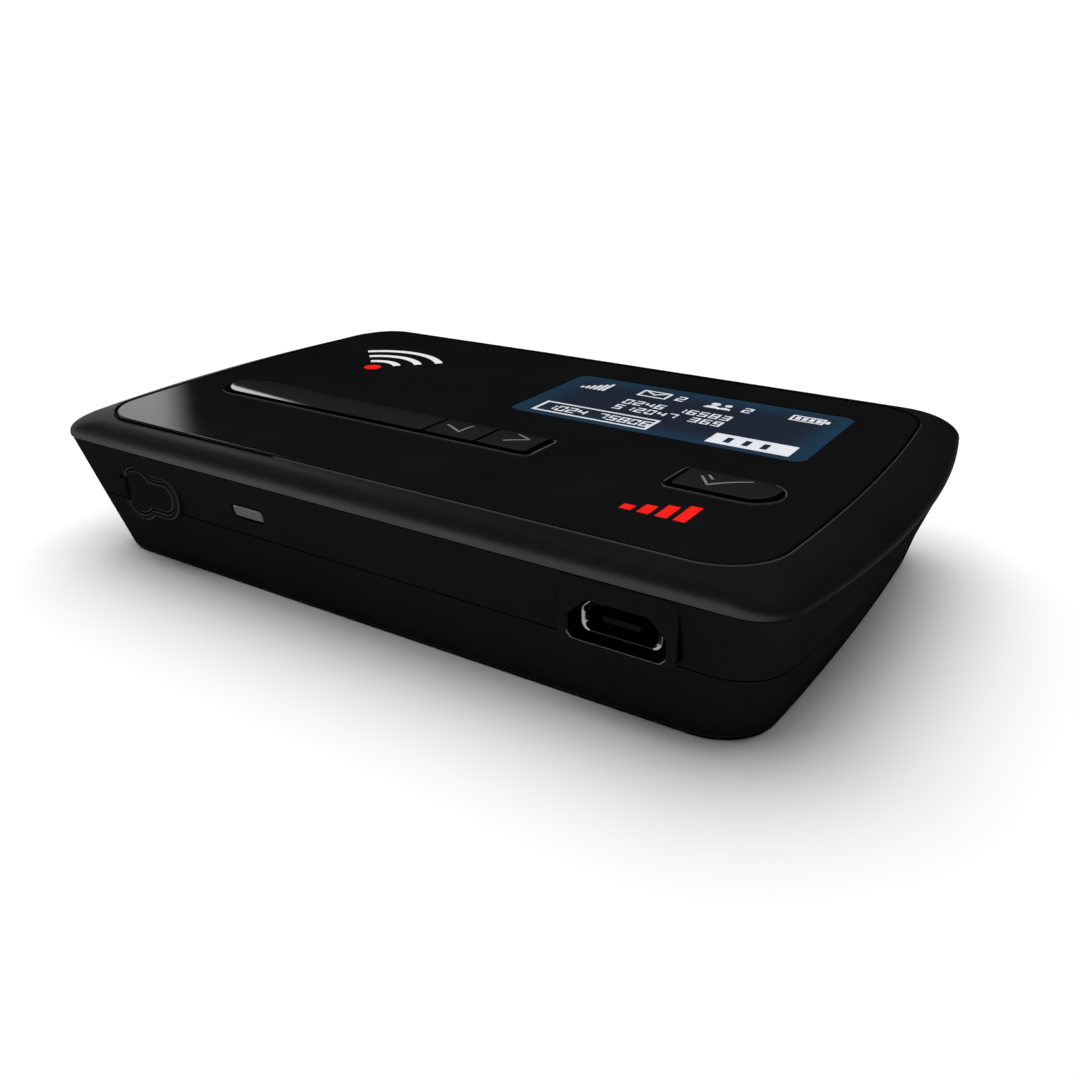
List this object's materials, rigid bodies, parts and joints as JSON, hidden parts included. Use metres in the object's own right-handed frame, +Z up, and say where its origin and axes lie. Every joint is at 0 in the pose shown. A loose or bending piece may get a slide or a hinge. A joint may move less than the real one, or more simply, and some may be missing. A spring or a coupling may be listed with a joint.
{
  "type": "mobile hotspot",
  "caption": "Pocket mobile hotspot: tapered, rounded case with a gloss top lens, a display, a key bar and a round-ended key, a micro-USB port and a hinged rubber cover over an aerial socket.",
  "frame": {"origin": "on the table, under the middle of the case", "axes": "+X along the case, the way the display reads; -Y towards the side with the ports; +Z up"},
  "size_m": [0.1, 0.0608, 0.0181],
  "materials": {
    "lens": "gloss",
    "band": "satin",
    "shell": "matte, fine grain",
    "keys": "satin gloss",
    "rubber": "matte",
    "light_pipe": "frosted",
    "display": "smooth",
    "steel": "plain",
    "contacts": "plated",
    "board": "solder resist",
    "flex": "film",
    "battery": "wrapped",
    "moulding": "matte",
    "card": "matte",
    "chips": "moulded"
  },
  "bodies": {
    "case": {"aerial_pin": "contacts", "aerial_socket": "contacts", "battery_connector": "moulding", "battery_contact_1": "contacts", "battery_contact_2": "contacts", "battery_contact_3": "contacts", "battery_contact_4": "contacts", "battery_pack": "battery", "case_screw_back_left": "steel", "case_screw_back_right": "steel", "case_screw_front_left": "steel", "case_screw_front_right": "steel", "cover_anchor": "rubber", "display_connector": "moulding", "display_flex": "flex", "display_module": "display", "diversity_aerial": "contacts", "left_switch": "steel", "lens_panel": "lens", "main_aerial": "contacts", "main_board": "board", "middle_housing": "shell", "modem_chip": "chips", "modem_shield": "steel", "ok_switch": "steel", "power_chip": "chips", "power_shield": "steel", "power_switch": "steel", "right_switch": "steel", "sim_card": "card", "sim_socket": "steel", "status_led": "card", "status_light_pipe": "light_pipe", "top_bezel": "band", "usb_shell": "steel", "usb_tongue": "chips", "wifi_aerial": "contacts", "wifi_chip": "chips", "wifi_shield": "steel"},
    "power_button": {"power_button": "keys", "power_plunger": "moulding"},
    "left_button": {"left_button": "keys", "left_plunger": "moulding"},
    "right_button": {"right_button": "keys", "right_plunger": "moulding"},
    "ok_button": {"ok_button": "keys", "ok_plunger": "moulding"},
    "aerial_cover": {"aerial_cover": "rubber"},
    "bottom_cover": {"bottom_cover": "shell"}
  },
  "joints": [
    {"name": "power_press", "type": "slide", "parent": "case", "child": "power_button", "axis": [0, 0, -1], "range_m": [0, 0.00025], "stiffness_N_per_m": 2000},
    {"name": "left_press", "type": "slide", "parent": "case", "child": "left_button", "axis": [0, 0, -1], "range_m": [0, 0.00025], "stiffness_N_per_m": 2000},
    {"name": "right_press", "type": "slide", "parent": "case", "child": "right_button", "axis": [0, 0, -1], "range_m": [0, 0.00025], "stiffness_N_per_m": 2000},
    {"name": "ok_press", "type": "slide", "parent": "case", "child": "ok_button", "axis": [0, 0, -1], "range_m": [0, 0.00025], "stiffness_N_per_m": 2000},
    {"name": "aerial_cover_hinge", "type": "hinge", "parent": "case", "child": "aerial_cover", "pos_m": [-0.0352, -0.02976, 0.00985], "axis": [0, 0, -1], "range_deg": [0, 110]},
    {"name": "bottom_cover_lift", "type": "slide", "parent": "case", "child": "bottom_cover", "axis": [0, 0, -1], "range_m": [0, 0.015]}
  ]
}
